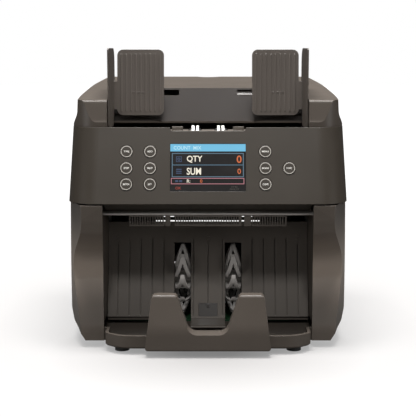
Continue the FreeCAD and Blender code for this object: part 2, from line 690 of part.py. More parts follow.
# ---------------------------------------------------------------- transport
SHAFTS = {
    "feed": ("feed_y", "feed_z"),
    "drum": ("drum_y", "drum_z"),
    "stack": ("stack_y", "stack_z"),
}


def frames():
    """Two sheet frames that carry the shafts' bearings and the motors."""
    foot = "foot_tall + skin"
    outline = [(-29, foot, 6), (-29, 202, 4), (62, 202, 18), (96, 150, 20), (96, foot, 6)]
    for name, side in (("left_frame", -1), ("right_frame", 1)):
        frame = Moulding(name)
        low, high = ("frame_gap", "frame_gap + frame_thick")
        if side < 0:
            low, high = minus(high), minus(low)
        frame.pad("YZ", outline, low, high)
        holes = [disc(y, z, 8) for y, z in SHAFTS.values()] + [disc("motor_y", "motor_z", 5)]
        frame.cut("YZ", holes, low, high)
        flange = (low, f"{low} + 7") if side > 0 else (f"{high} - 7", high)
        frame.pad("XY", block(*flange, 0, 90), foot, f"{foot} + 2")


def shaft_bearings():
    """A flanged bearing for each shaft end, seated in the side frames."""
    bearings = []
    for name, at in SHAFTS.items():
        for side in (-1, 1):
            inner = "frame_gap - 2" if side > 0 else "-frame_gap - frame_thick"
            outer = "frame_gap + frame_thick" if side > 0 else "2 - frame_gap"
            body = rod(f"{name}_seat_{side}", "X", at, 7.98, inner, outer)
            flange_in = "frame_gap - 2" if side > 0 else "0.05 - frame_gap"
            flange_out = "frame_gap - 0.05" if side > 0 else "2 - frame_gap"
            flange = rod(f"{name}_flange_{side}", "X", at, 9.5, flange_in, flange_out)
            bore = rod(f"{name}_bore_{side}", "X", at, "shaft_r + fit", -120, 120)
            bearings.append(less(f"{name}_bearing_{side}", fused(f"{name}_ring_{side}", body, flange), bore))
    node("shaft_bearings", group("shaft_bearings", *bearings))


def shaft(name, at, low, high):
    axle = Moulding(name).place(y=at[0], z=at[1])
    axle.pad("YZ", disc(0, 0, "shaft_r"), low, high)
    axle.fillet(0.6, lambda b: b.XLength < 0.1, "Chamfer")


def pulley(name, at, radius, bore, side=1):
    """Flanged belt pulley on a shaft's end."""
    low, high = ("pulley_in", "pulley_out") if side > 0 else ("-pulley_out", "-pulley_in")
    wheel = Moulding(name).place(y=at[0], z=at[1])
    wheel.pad("YZ", disc(0, 0, radius), low, high)
    wheel.pad("YZ", disc(0, 0, radius + 2), low, f"{low} + 0.8")
    wheel.pad("YZ", disc(0, 0, radius + 2), f"{high} - 0.8", high)
    wheel.cut("YZ", disc(0, 0, bore), low, high)


def feed_unit():
    """Pick-up shaft with two hubs, each wearing a pair of soft tyres."""
    at = SHAFTS["feed"]
    shaft("pickup_shaft", at, "-frame_gap - frame_thick - 1", "pulley_out + 1")
    hubs = []
    tyres = []
    for side in (-1, 1):
        low, high = (7.4, 18.8) if side > 0 else (-18.8, -7.4)
        hub = rod(f"hub_{side}", "X", at, "feed_r - 3", low, high)
        hub_bore = rod(f"hub_bore_{side}", "X", at, "shaft_r", low, high)
        grooves = []
        for number, (start, stop) in enumerate(((9.4, 11.8), (13.8, 16.4))):
            low, high = (start, stop) if side > 0 else (-stop, -start)
            tyre = rod(f"tyre_{side}_{number}", "X", at, "feed_r", low, high)
            core = rod(f"tyre_core_{side}_{number}", "X", at, "feed_r - 5", low, high)
            grooves.append(less(f"groove_{side}_{number}", tyre, core))
        tyres.extend(grooves)
        hubs.append(less(f"pickup_hub_{side}", hub, hub_bore, *grooves))
    node("pickup_wheels", group("pickup_wheels", *hubs))
    node("pickup_tyres", group("pickup_tyres", *tyres))
    pulley("pickup_pulley", at, 12, "shaft_r")


def drum_unit():
    at = SHAFTS["drum"]
    shaft("drum_shaft", at, "-frame_gap - frame_thick - 1", "pulley_out + 1")
    drum = Moulding("drum_rollers").place(y=at[0], z=at[1])
    drum.pad("YZ", disc(0, 0, "drum_r - 6"), -92, 92)
    band = drum.pad("YZ", disc(0, 0, "drum_r"), -88, -68)
    drum.row(band, "X", 156, 4)
    drum.cut("YZ", disc(0, 0, "shaft_r"), -92, 92)
    pulley("drum_pulley", at, 16, "shaft_r")


def blade(turn):
    """One curved stacker blade: straight off the hub, then bent back against the turning."""
    thick = 1.9
    root = 7
    bend = V(0, 0, 20)
    tip = V(0, 20, 31)
    rim = V(0, 23.2, 29.4)
    middle = V(0, 6.2, 27.4)
    outer = Part.Arc(bend, middle, tip).toShape()
    inner = Part.Arc(bend + V(0, thick, -1), middle + V(0, 1.3, -1.5), rim).toShape()
    edges = [Part.makeLine(V(0, 0, root), bend), outer, Part.makeLine(tip, rim), inner,
             Part.makeLine(bend + V(0, thick, -1), V(0, thick, root)),
             Part.makeLine(V(0, thick, root), V(0, 0, root))]
    face = Part.Face(Part.Wire(Part.__sortEdges__(edges)))
    solid = face.extrude(V(value("stack_half * 2"), 0, 0))
    solid.rotate(V(0, 0, 0), V(1, 0, 0), turn)
    return solid


def stacker_unit():
    """Two bladed wheels on one shaft; the blades narrow towards their tips."""
    at = SHAFTS["stack"]
    shaft("stacker_shaft", at, "-pulley_out - 1", "frame_gap + frame_thick + 1")
    blades = 10
    first = 3.8
    wide = value("stack_half * 2")
    hub = Part.makeCylinder(10, wide, V(0, 0, 0), V(1, 0, 0))
    wheel = hub.multiFuse([blade(first + number * 360 / blades) for number in range(blades)])
    # profile of the taper: full width near the hub, a narrow edge at the tips
    far = value("stack_r")
    taper = Part.makePolygon([V(0, 0, 0), V(0, 0, 22), V(wide / 2 - 1.6, 0, far), V(wide / 2 + 1.6, 0, far),
                              V(wide, 0, 22), V(wide, 0, 0), V(0, 0, 0)])
    wheel = wheel.common(Part.Face(taper).revolve(V(0, 0, 0), V(1, 0, 0), 360))
    # each blade is open in its middle, like an upturned V
    middle = wide / 2
    notch = Part.makePolygon([V(middle - 5.2, 0, 12), V(middle - 5, 0, 22), V(middle, 0, 33.5),
                              V(middle + 5, 0, 22), V(middle + 5.2, 0, 12), V(middle - 5.2, 0, 12)])
    wheel = wheel.cut(Part.Face(notch).revolve(V(0, 0, 0), V(1, 0, 0), 360))
    wheel = wheel.cut(Part.makeCylinder(value("shaft_r"), wide, V(0, 0, 0), V(1, 0, 0)))
    wheel = wheel.removeSplitter().Solids[0]
    for name, start in (("stacker_wheel_left", -value("stack_x + stack_half")),
                        ("stacker_wheel_right", value("stack_x - stack_half"))):
        piece = formed(name, wheel)
        piece.Placement = FreeCAD.Placement(V(start, value(at[0]), value(at[1])), FreeCAD.Rotation())
        node(name, piece)
    pulley("stacker_pulley", at, 13, "shaft_r", side=-1)


def motors():
    """Two direct-current motors between the frames, one for the feed and one for the stacker."""
    for name, side in (("drive_motor", 1), ("stacker_motor", -1)):
        can = Moulding(name).place(y="motor_y", z="motor_z")
        low, high = (40, "frame_gap") if side > 0 else ("-frame_gap", -40)
        can.pad("YZ", disc(0, 0, "motor_r"), low, high)
        boss = ("frame_gap", "frame_gap + 2.5") if side > 0 else ("-frame_gap - 2.5", "-frame_gap")
        can.pad("YZ", disc(0, 0, 4.9), *boss)
        tail = (36, 40) if side > 0 else (-40, -36)
        can.pad("YZ", disc(0, 0, 8), *tail)
        bore = (90, "pulley_in") if side > 0 else ("-pulley_in", -90)
        can.cut("YZ", disc(0, 0, "2.5 + fit"), *bore)
        can.fillet(2, lambda b: b.XLength < 0.1 and b.YLength > 40)
    for name, side in (("motor_pulley", 1), ("stacker_motor_pulley", -1)):
        low, high = ("pulley_in", "pulley_out") if side > 0 else ("-pulley_out", "-pulley_in")
        wheel = Moulding(name).place(y="motor_y", z="motor_z")
        wheel.pad("YZ", disc(0, 0, 9), low, high)
        wheel.pad("YZ", disc(0, 0, 11), low, f"{low} + 0.8")
        wheel.pad("YZ", disc(0, 0, 11), f"{high} - 0.8", high)
        spindle = (91, "pulley_in + 0.1") if side > 0 else ("-pulley_in - 0.1", -91)
        wheel.pad("YZ", disc(0, 0, 2.5), *spindle)


def belt(name, circles, low, high, thick=1.3, clear=0.3):
    """Open belt round pulleys given as (y, z, radius) in turn, all on the belt's inside."""
    def loop(grow):
        """Closed wire of the outer tangents and the arcs between them."""
        rings = [(V(0, y, z), r + clear + grow) for y, z, r in circles]
        touches = []
        for i, (here, r) in enumerate(rings):
            there, r_next = rings[(i + 1) % len(rings)]
            way = there - here
            lift = math.asin((r - r_next) / way.Length)
            turn = FreeCAD.Rotation(V(1, 0, 0), 90 - math.degrees(lift))
            out = turn.multVec(way.normalize()) * -1
            touches.append((here + out * r, there + out * r_next, out))
        edges = []
        for i, (start, stop, out) in enumerate(touches):
            edges.append(Part.makeLine(start, stop))
            centre, r = rings[(i + 1) % len(rings)]
            next_start, _, next_out = touches[(i + 1) % len(rings)]
            between = out + next_out
            if out.getAngle(next_out) > math.pi - 0.01 or between.dot(stop - centre) < 0:
                between = between * -1
            edges.append(Part.Arc(stop, centre + between.normalize() * r, next_start).toShape())
        return Part.Face(Part.Wire(edges))

    band = loop(thick).cut(loop(0)).extrude(V(high - low, 0, 0))
    piece = formed(name, band)
    piece.Placement = FreeCAD.Placement(V(low, 0, 0), FreeCAD.Rotation())
    node(name, piece)


def belts():
    def at(prefix):
        return value(prefix + "_y"), value(prefix + "_z")

    inner = value("pulley_in + 1")
    outer = value("pulley_out - 1")
    belt("drive_belt", [(*at("motor"), 9), (*at("drum"), 16), (*at("feed"), 12)], inner, outer)
    belt("stacker_belt", [(*at("stack"), 13), (*at("motor"), 9)], -outer, -inner)


# ---------------------------------------------------------------- sensors and electronics
def electronics():
    sensor = Moulding("front_image_sensor")
    sensor.pad("YZ", [(4, 122), (4, 148), (15.5, 148), (18.5, 140), (18.5, 124), (16, 122)], -90, 90)
    sensor.fillet(0.8, lambda b: b.XLength > 100 and b.YMax < 5)
    board = Moulding("main_board")
    board.pad("XY", block(-84, 84, -18, 33.5), 8.8, 10.4)
    for x0, x1, y0, y1, tall in ((-70, -44, -10, 20, 3), (-12, 10, 12, 30, 5), (50, 74, 8, 28, 9)):
        board.pad("XY", block(x0, x1, y0, y1), 10.3, 10.4 + tall)
    supply = Moulding("power_supply")
    supply.pad("XY", block(-32, 24, 46, 106), 8.5, 40)
    slot = supply.cut("XY", block(-26, 18, 52, 54), 38, 40)
    supply.row(slot, "Y", 46, 9)


def rear_panel():
    """Fixed strip below the rear door with the inlet, the switch and the data sockets."""
    panel = Moulding("rear_panel")
    rim = [("0.4 - door_half", "base_rim + 0.3"), ("door_half - 0.4", "base_rim + 0.3"),
           ("door_half - 0.4", 58), ("0.4 - door_half", 58)]
    panel.pad("XZ", rim, "back_edge - skin", "back_edge")
    panel.pad("XZ", block(-84, 84, 57.9, 61.2), "back_edge - skin", "back_edge")
    # an upstand keeps dust and light out behind the door's lower edge
    panel.pad("YZ", [(107, 50), (116.1, 50), (116.1, 53), (110, 53), (110, 67), (107, 67)], -84, 84)
    panel.cut("XZ", block(-84, -56.6, 24, 44, 2), "back_edge - skin", "back_edge")
    panel.cut("XZ", block(-49, -36, 23.8, 44.2, 1), "back_edge - skin", "back_edge")
    panel.cut("XZ", [block(30, 43.6, 27, 40), block(52, 65.6, 30, 36.4)], "back_edge - skin", "back_edge")
    for x in (-99, -88, 88, 99):
        lug = [(115.5, 50), (121.4, 50), (121.4, "hinge_z", 1.5), (120.5, "hinge_z + 2", 1),
               (117.5, "hinge_z + 2", 1), (116.2, "hinge_z - 2", 1)]
        panel.pad("YZ", lug, x - 2, x + 2)
    panel.cut("YZ", disc("hinge_y", "hinge_z", 1.5), -110, 110)
    # two ears behind the panel hold the rocker's trunnions
    for x in (-51, -36):
        panel.pad("YZ", block(112.6, 116.2, 31.4, 36.6), x, x + 2)
    panel.cut("YZ", disc(115.4, 34, "1.2 + fit"), -51.1, -33.9)


def door_hinge_pins():
    pins = [rod(f"pin_{side}", "X", ("hinge_y", "hinge_z"), 1.5, low, high)
            for side, low, high in (("left", -101, -86), ("right", 86, 101))]
    node("door_hinge_pins", group("door_hinge_pins", *pins))


def power_inlet():
    """Appliance inlet with a flange, an open socket and three blades."""
    inlet = Moulding("power_inlet")
    inlet.pad("XZ", block(-86, -54.6, 22, 46, 3), "back_edge + 0.05", "back_edge + 1.8")
    inlet.pad("XZ", block(-83.8, -56.8, 24.2, 43.8, 2), 96, "back_edge + 0.1")
    inlet.cut("XZ", [(-82, 26.4, 1), (-58.6, 26.4, 1), (-58.6, 37, 1), (-62.6, 41.4, 1), (-78, 41.4, 1),
                     (-82, 37, 1)], 102, "back_edge + 1.8")
    pins = [block(-77.3, -75.3, 31.6, 35.6), block(-71.3, -69.3, 34, 38), block(-65.3, -63.3, 31.6, 35.6)]
    inlet.pad("XZ", pins, 101, "back_edge - 1")


ROCKER_TILT = 7


def power_switch():
    """Rocker that tilts about a pin across its middle."""
    rocker = Moulding("power_switch_rocker").place(y=115.4, z=34)
    rocker.body.Placement.Rotation = FreeCAD.Rotation(V(1, 0, 0), -ROCKER_TILT)
    side = [(-4, -7.4), (5.6, -8.2, 0.8), (3.2, 0, 30), (5.6, 8.2, 0.8), (-4, 7.4)]
    rocker.pad("YZ", side, -48, -37)
    rocker.pad("YZ", disc(0, 0, 1.2), -50.6, -34.4)


def data_ports():
    """Network and serial sockets on a small board."""
    net = less("net_port", crate("net_shell", (30.2, 43.4), (100, "back_edge + 0.6"), (27.2, 39.8)),
               crate("net_way", (31.4, 42.2), (104, 125), (28.6, 37.6)))
    usb = less("usb_port", crate("usb_shell", (52.2, 65.4), (104, "back_edge + 0.6"), (30.2, 36.2)),
               crate("usb_way", (53, 64.6), (106, 125), (31, 35.4)))
    board = crate("port_board", (26, 70), (98, 114), (25.2, 26.8))
    stand = crate("port_stand", (54, 64), (104, 112), (26.7, 30.3))
    foot = crate("net_stand", (32, 42), (104, 112), (26.7, 27.3))
    node("data_ports", fused("data_ports", net, usb, board, stand, foot))


# ---------------------------------------------------------------- rear door
def rear_door():
    """Door over the note path, hinged along its lower edge, with a grip at the top."""
    door = Moulding("rear_door")
    back = [("door_half", "door_low", 2), ("door_half", "door_high", 8)]
    door.pad("XZ", mirrored(back), "back_edge - 8", "back_edge + 1.8")
    inner = [("door_half - 3", "door_low + 3", 2), ("door_half - 3", "door_high - 3", 6)]
    door.cut("XZ", mirrored(inner), "back_edge - 8", "back_edge - 1.2")
    slit = door.cut("XZ", block(-60, 60, 90, 92.4, 1.1), "back_edge - 2", "back_edge + 2")
    door.row(slit, "Z", 36, 7)
    door.cut("XZ", block(-16, 16, 230, 238, 3), "back_edge + 0.2", "back_edge + 2")
    lug_ways = [block(-101.3, -96.7, 55, 66), block(-90.3, -85.7, 55, 66),
                block(85.7, 90.3, 55, 66), block(96.7, 101.3, 55, 66)]
    door.cut("XZ", lug_ways, "back_edge - 8", "back_edge + 3")
    knuckle = [disc("hinge_y", "hinge_z", 2.9)]
    for low in (-96.4, 90.6):
        door.pad("YZ", knuckle, low, low + 5.8)
    door.cut("YZ", disc("hinge_y", "hinge_z", "1.5 + fit"), -105, 105)


ROLLER_Y = 81.4
ROLLER_Z = 141


def rear_image_sensor():
    """Sensor bar and roller carrier fixed inside the rear door."""
    bar = Moulding("rear_image_sensor")
    bar.pad("YZ", [(79.5, 120, 1), (79.5, 160, 2), (92, 168, 3), ("back_edge - 1.25", 168),
                   ("back_edge - 1.25", 120)], -92, 92)
    bar.cut("YZ", [(96, 126), (96, 160), (130, 160), (130, 126)], -89, 89)
    bar.cut("YZ", disc(ROLLER_Y, ROLLER_Z, 7), -86, 86)
    bar.cut("YZ", disc(ROLLER_Y, ROLLER_Z, "1.5 + fit"), -92, 92)
    bar.pad("YZ", [("back_edge - 1.25", 120), (92, 120), (92, 123), ("back_edge - 1.25", 123)], -92, 92)


def pinch_rollers():
    """Steel spindle with four rubber rollers that press the notes on the drum."""
    at = (ROLLER_Y, ROLLER_Z)
    rollers = Moulding("pinch_rollers").place(y=at[0], z=at[1])
    rollers.pad("YZ", disc(0, 0, 1.5), -91.5, 91.5)
    tyre = rollers.pad("YZ", disc(0, 0, 5.6), -85, -71)
    rollers.row(tyre, "X", 156, 4)


# ---------------------------------------------------------------- note guides
def involute(base, turn, radius):
    """Point on an involute of the base circle, at the given radius."""
    roll = math.sqrt((radius / base) ** 2 - 1)
    angle = turn + roll - math.atan(roll)
    return V(radius * math.cos(angle), 0, radius * math.sin(angle))


def guide_pinion():
    """Involute pinion that makes the two guides move together."""
    size = value("tooth_module")
    count = int(value("tooth_count"))
    pitch = size * count / 2
    base = pitch * math.cos(math.radians(20))
    tip = pitch + size * 0.95
    root = pitch - size * 1.25
    at_pitch = math.sqrt((pitch / base) ** 2 - 1)
    half = math.pi / 2 / count - 0.012 + at_pitch - math.atan(at_pitch)
    wire = []
    for tooth in range(count):
        middle = 2 * math.pi * tooth / count
        levels = [max(base, root) + (tip - max(base, root)) * step / 4 for step in range(5)]
        right = [involute(base, 0, level) for level in levels]
        spin = FreeCAD.Rotation(V(0, -1, 0), math.degrees(middle - half))
        flip = [V(p.x, 0, -p.z) for p in right]
        back = FreeCAD.Rotation(V(0, -1, 0), math.degrees(middle + half))
        gap = math.pi / count
        foot_in = V(root * math.cos(middle - gap * 0.62), 0, root * math.sin(middle - gap * 0.62))
        foot_out = V(root * math.cos(middle + gap * 0.62), 0, root * math.sin(middle + gap * 0.62))
        wire.append(foot_in)
        wire.extend(spin.multVec(p) for p in right)
        wire.extend(back.multVec(p) for p in reversed(flip))
        wire.append(foot_out)
    face = Part.Face(Part.makePolygon(wire + wire[:1]))
    gear = face.extrude(V(0, 6, 0))
    gear = gear.cut(Part.makeCylinder(2 + value("fit"), 10, V(0, -1, 0), V(0, 1, 0)))
    piece = formed("guide_pinion", gear)
    # turned so that a tooth gap faces each rack's tooth at rest
    piece.Placement = FreeCAD.Placement(V(0, value("pinion_y") - 3, value("pinion_z")), FreeCAD.Rotation())
    node("guide_pinion", piece)


def rack_teeth(name, low, high, pitch_z, up):
    """Rack bar with straight-flanked teeth; up says which way the teeth point."""
    size = value("tooth_module")
    step = math.pi * size
    sign = 1 if up else -1
    slant = math.tan(math.radians(20)) * size
    back = pitch_z - sign * size * 1.3
    points = [V(low, 0, back)]
    first = math.ceil((low + step) / step)
    last = math.floor((high - step) / step)
    for tooth in range(first, last + 1):
        # a tooth stands at each half step, so that a gap stands over the pinion's own tooth
        x = tooth * step + (step / 2 if value("tooth_count") % 4 == 0 else 0)
        quarter = step / 4 - 0.1
        points += [V(x - quarter - slant * 1.3, 0, back), V(x - quarter + slant * 0.9, 0, pitch_z + sign * size * 0.9),
                   V(x + quarter - slant * 0.9, 0, pitch_z + sign * size * 0.9), V(x + quarter + slant * 1.3, 0, back)]
    points += [V(high, 0, back), V(high, 0, back - sign * 3.2), V(low, 0, back - sign * 3.2), V(low, 0, back)]
    bar = Part.Face(Part.makePolygon(points)).extrude(V(0, 5, 0))
    bar.translate(V(0, value("pinion_y") - 2.5, 0))
    return formed(name, bar)


def note_guides():
    """Each guide is a fence along the notes' edge, a ribbed plate behind them, an arm and a rack."""
    pitch = value("tooth_module * tooth_count / 2")
    for name, side in (("right_guide", 1), ("left_guide", -1)):
        edge = [(-55, 210.4, 4), (-55, "guide_top", 2.5), (10, "guide_top", 14), (10, 236.5, 6),
                (-9.5, 210.4, 4)]
        fence = slab(name + "_fence", "YZ", edge, "fence_x", "fence_x + 1.5")
        lean = math.tan(math.radians(8))

        def face(z, out=0):
            return (-6 + (z - 221) * lean - out, z)

        upright = slab(name + "_upright", "YZ", [face(221, 1), face(287, 1), face(287, -1.4), face(221, -1.4)],
                       44.8, 92.2)
        outline = slab(name + "_shape", "XZ", block(44.8, 92.2, 221, 287, 6), -20, 20)
        plate = shared(name + "_plate", upright, outline)
        ribs = []
        for number in range(9):
            x = 48.2 + number * 4.9
            ribs.append(slab(f"{name}_rib_{number}", "YZ", [face(225.4, 1.7), face(282.6, 1.7), face(282.6, 0.9),
                                                            face(225.4, 0.9)], x, x + 1.5))
        web = slab(name + "_web", "YZ", [face(227, 1), face(255, 1), face(255, -1.4), face(227, -1.4)], 92, 96)
        straight = [(-4, 241), (-4, 244.6), ("pinion_y + 2.5", 244.6), ("pinion_y + 2.5", 241)]
        # the left arm drops in front of the right guide's rack to reach its own, lower one
        stepped = [(-4, 241), (-4, 244.6), ("pinion_y - 3.1", 244.6), ("pinion_y - 3.1", 221.5),
                   ("pinion_y + 2.5", 221.5), ("pinion_y + 2.5", 218.4), ("pinion_y - 6.5", 218.4),
                   ("pinion_y - 6.5", 241)]
        arm = slab(name + "_arm", "YZ", straight if side > 0 else stepped, 65, 78)
        pieces = [fence, plate, web, arm, *ribs]
        if side > 0:
            # a flat tongue runs beside the arm, just behind the backrest
            tongue = [(17.7, 240.4), (20.9, 244.6), (23.4, 244.6), (20.2, 240.4)]
            pieces.append(slab(name + "_tongue", "YZ", tongue, 30, 66))
            pieces.append(rack_teeth(name + "_rack", -10, 82, value("pinion_z") + pitch, up=False))
        else:
            pieces.append(rack_teeth(name + "_rack", -10, 82, value("pinion_z") - pitch, up=True))
        guide = fused(name if side > 0 else name + "_mirror", *pieces)
        node(name, guide if side > 0 else reflection(name, guide))


# ---------------------------------------------------------------- build, check and write
def check_and_write():
    doc.recompute()
    faults = []
    for thing in doc.Objects:
        if "Invalid" in thing.State or "Error" in thing.State:
            faults.append(f"{thing.Name}: {thing.State}")
    for name, thing in NODES.items():
        shape = thing.Shape
        if shape.isNull() or not shape.isValid() or not shape.Solids:
            faults.append(f"{name}: no valid solid")
    for pocket in CUTS:
        if pocket.Shape.Volume >= pocket.BaseFeature.Shape.Volume - 1e-6:
            faults.append(f"{pocket.Name}: cuts nothing")
    if faults:
        raise SystemExit("\n".join(faults))
    os.makedirs("parts", exist_ok=True)
    for name, thing in NODES.items():
        thing.Shape.exportStep(f"parts/{name}.step")
    print(len(NODES), "pieces written")


def main():
    for make in (base_tray, rubber_feet, case_screws, stacker_front_cover, side_covers, front_panel, keys,
                 display, key_board, top_cover, hopper_floor, stacker_plate, stack_sensor, exit_comb,
                 exit_bar, frames, shaft_bearings, feed_unit, drum_unit, stacker_unit, motors, belts,
                 electronics, rear_panel, door_hinge_pins, power_inlet, power_switch, data_ports,
                 rear_door, rear_image_sensor, pinch_rollers, guide_pinion, note_guides):
        make()
    check_and_write()


main()
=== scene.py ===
"""Looks of the banknote counter: a finish for every CAD piece, the lit screen, printed keys and a studio.

Lengths are metres in the CAD's own frame: X to the right, Y to the back, Z up.
"""
import json
import math
import bmesh
import bpy
from mathutils import Matrix, Vector


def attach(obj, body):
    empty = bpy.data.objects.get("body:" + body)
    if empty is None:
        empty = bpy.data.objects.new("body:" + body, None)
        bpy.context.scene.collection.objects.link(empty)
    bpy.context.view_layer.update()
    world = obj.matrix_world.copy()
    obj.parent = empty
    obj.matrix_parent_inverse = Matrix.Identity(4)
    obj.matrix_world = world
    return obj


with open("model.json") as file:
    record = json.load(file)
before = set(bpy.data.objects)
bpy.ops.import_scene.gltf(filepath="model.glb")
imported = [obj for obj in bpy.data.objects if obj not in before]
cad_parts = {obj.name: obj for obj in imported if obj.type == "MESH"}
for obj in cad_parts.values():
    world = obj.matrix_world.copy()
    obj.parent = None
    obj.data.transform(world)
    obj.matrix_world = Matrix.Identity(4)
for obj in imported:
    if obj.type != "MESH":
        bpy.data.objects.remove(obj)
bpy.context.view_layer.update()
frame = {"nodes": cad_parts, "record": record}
NODES = frame["nodes"]
SLOTS = {row["node"]: row["material_slot"] for row in frame["record"]["subparts"]}
KEYS = sorted(name for name, slot in SLOTS.items() if slot == "key_plastic")
MM = 0.001

# places on the machine that a finish or the painted light on the cheeks depends on
HOPPER_HALF = 99 * MM  # just past the hopper's side walls, measured from the middle
SCOOP_PAINTED_LIGHT_MIDDLE = 78 * MM  # height where the painted light on the cheeks' hollows is palest, near their deepest place
SCOOP_PAINTED_LIGHT_REACH = 55 * MM  # the painted light has faded away this far above and below it
SCOOP_PAINTED_LIGHT = 2.75  # times the case's colour, where the painted light is strongest
# painted shade: times the case's colour, from that reach on above and below
SCOOP_PAINTED_SHADE = 0.9

# colours that more than one finish has
CASE_COLOUR = (0.070, 0.058, 0.048)
PANEL_COLOUR = (0.030, 0.0243, 0.0183)

FILM = 0.03 * MM  # thickness of ink and of the screen's picture


# ---------------------------------------------------------------- finishes
class Finish:
    """A node material with its principled shader and the coordinates that its textures use."""

    def __init__(self, name, rough, **sockets):
        self.material = bpy.data.materials.new(name)
        self.material.use_nodes = True
        self.tree = self.material.node_tree
        self.shader = self.tree.nodes["Principled BSDF"]
        self.shader.inputs["Roughness"].default_value = rough
        for socket, value in sockets.items():
            self.shader.inputs[socket.replace("_", " ")].default_value = value
        self.place = self.node("ShaderNodeTexCoord").outputs["Object"]

    def node(self, kind, settings=(), **sockets):
        """A new node; a socket takes a number, a colour or another node's output."""
        made = self.tree.nodes.new(kind)
        for setting, value in dict(settings).items():
            setattr(made, setting, value)
        for socket, value in sockets.items():
            self.join(value, made.inputs[socket.replace("_", " ")])
        return made

    def join(self, value, socket):
        if isinstance(value, bpy.types.NodeSocket):
            self.tree.links.new(value, socket)
        else:
            socket.default_value = value

    def noise(self, size, detail=2.0, stretch=(1, 1, 1)):
        """Noise whose features are about size across, drawn out along an axis by stretch."""
        scale = [1 / (size * s) for s in stretch]
        place = self.node("ShaderNodeMapping", Vector=self.place, Scale=scale).outputs["Vector"]
        return self.node("ShaderNodeTexNoise", Vector=place, Scale=1.0, Detail=detail).outputs["Fac"]

    def between(self, factor, low, high, start=0.3, stop=0.7):
        """A number that goes from low to high as factor goes from start to stop."""
        settings = {"clamp": True}
        sockets = {"From_Min": start, "From_Max": stop, "To_Min": low, "To_Max": high}
        return self.node("ShaderNodeMapRange", settings, Value=factor, **sockets).outputs["Result"]

    def mix(self, factor, first, second):
        """A colour between two colours."""
        made = self.node("ShaderNodeMix", {"data_type": "RGBA"})
        self.join(factor, made.inputs[0])
        for value, socket in ((first, made.inputs[6]), (second, made.inputs[7])):
            self.join(value if isinstance(value, bpy.types.NodeSocket) else (*value, 1), socket)
        return made.outputs[2]

    def tint(self, factor, colour, spread):
        """A colour that wanders a little darker and lighter."""
        darker = [c * (1 - spread) for c in colour]
        lighter = [c * (1 + spread) for c in colour]
        return self.mix(factor, darker, lighter)

    def worn_and_sheened_edges(self, radius):
        """How near a point is to a sharp outer edge, and the normal rounded over that edge."""
        rounded = self.node("ShaderNodeBevel", {"samples": 6}, Radius=radius).outputs["Normal"]
        true = self.node("ShaderNodeNewGeometry").outputs["Normal"]
        dot = self.node("ShaderNodeVectorMath", {"operation": "DOT_PRODUCT"})
        self.join(rounded, dot.inputs[0])
        self.join(true, dot.inputs[1])
        return self.between(dot.outputs["Value"], 1.0, 0.0, 0.8, 0.995), rounded

    def painted_light_by_height(self, colour, middle, reach, most, least):
        """Painted light and shade by height: a colour multiplied by most at one height, and by least from
        reach above and below it.
        """
        height = self.node("ShaderNodeSeparateXYZ", Vector=self.place).outputs["Z"]
        above = self.node("ShaderNodeMath", {"operation": "SUBTRACT"}, Value=height)
        self.join(middle, above.inputs[1])
        away = self.node("ShaderNodeMath", {"operation": "ABSOLUTE"}, Value=above.outputs["Value"])
        sockets = {"From_Min": 0.0, "From_Max": reach, "To_Min": most, "To_Max": least}
        strength = self.node("ShaderNodeMapRange", {"interpolation_type": "SMOOTHSTEP"},
                             Value=away.outputs["Value"], **sockets)
        product = self.node("ShaderNodeMix", {"data_type": "RGBA", "blend_type": "MULTIPLY"})
        self.join(1.0, product.inputs[0])
        self.join(colour, product.inputs[6])
        self.join(strength.outputs["Result"], product.inputs[7])
        return product.outputs[2]

    def bumped(self, height, depth, normal=None):
        """Relief of the given depth over a normal."""
        bump = self.node("ShaderNodeBump", Height=height, Distance=depth, Strength=1.0)
        if normal is not None:
            self.join(normal, bump.inputs["Normal"])
        self.join(bump.outputs["Normal"], self.shader.inputs["Normal"])


def moulded(name, colour, rough, grain=0.45 * MM, depth=0.02 * MM, edge=0.5 * MM, rub_and_sheen=0.35, painted_light_by_height=False,
            **sockets):
    """Spark-textured plastic: fine grain, slow changes of tone and gloss, edges a little paler, partly from
    rubbing and partly a painted sheen.

    Where asked, it carries painted light, palest at the middle height of the cheeks' hollows, and painted
    shade darker than the case further above and below.
    """
    finish = Finish(name, rough, **sockets)
    cloud = finish.noise(38 * MM, 4.0)
    fine = finish.noise(grain, 2.0)
    edges, rounded = finish.worn_and_sheened_edges(edge)
    body = finish.tint(cloud, colour, 0.07)
    # paler edges: partly rubbed wear, partly a painted sheen
    pale = [c * (1 + rub_and_sheen) + 0.012 * rub_and_sheen for c in colour]
    base = finish.mix(edges, body, pale)
    # painted light on the cheeks' hollows: palest at their middle height, with painted shade below
    if painted_light_by_height:
        base = finish.painted_light_by_height(base, SCOOP_PAINTED_LIGHT_MIDDLE, SCOOP_PAINTED_LIGHT_REACH, SCOOP_PAINTED_LIGHT, SCOOP_PAINTED_SHADE)
    finish.join(base, finish.shader.inputs["Base Color"])
    finish.join(finish.between(cloud, rough - 0.04, rough + 0.04), finish.shader.inputs["Roughness"])
    finish.bumped(fine, depth, rounded)
    return finish.material


def glossy_glass(name, colour):
    """Dark screen glass with faint wipe marks in its gloss."""
    finish = Finish(name, 0.12, Coat_Weight=0.4, Coat_Roughness=0.04)
    smear = finish.noise(16 * MM, 3.0, (3, 1, 1))
    finish.join(finish.tint(smear, colour, 0.15), finish.shader.inputs["Base Color"])
    finish.join(finish.between(smear, 0.08, 0.2), finish.shader.inputs["Roughness"])
    finish.bumped(smear, 0.002 * MM)
    return finish.material


def rubber(name, colour, rough):
    """Soft rubber with a dusty bloom in its pores."""
    finish = Finish(name, rough, Sheen_Weight=0.15, Sheen_Roughness=0.6)
    cloud = finish.noise(9 * MM, 4.0)
    pores = finish.noise(0.3 * MM, 3.0)
    finish.join(finish.tint(cloud, colour, 0.12), finish.shader.inputs["Base Color"])
    finish.join(finish.between(cloud, rough - 0.06, rough + 0.05), finish.shader.inputs["Roughness"])
    finish.bumped(pores, 0.03 * MM)
    return finish.material


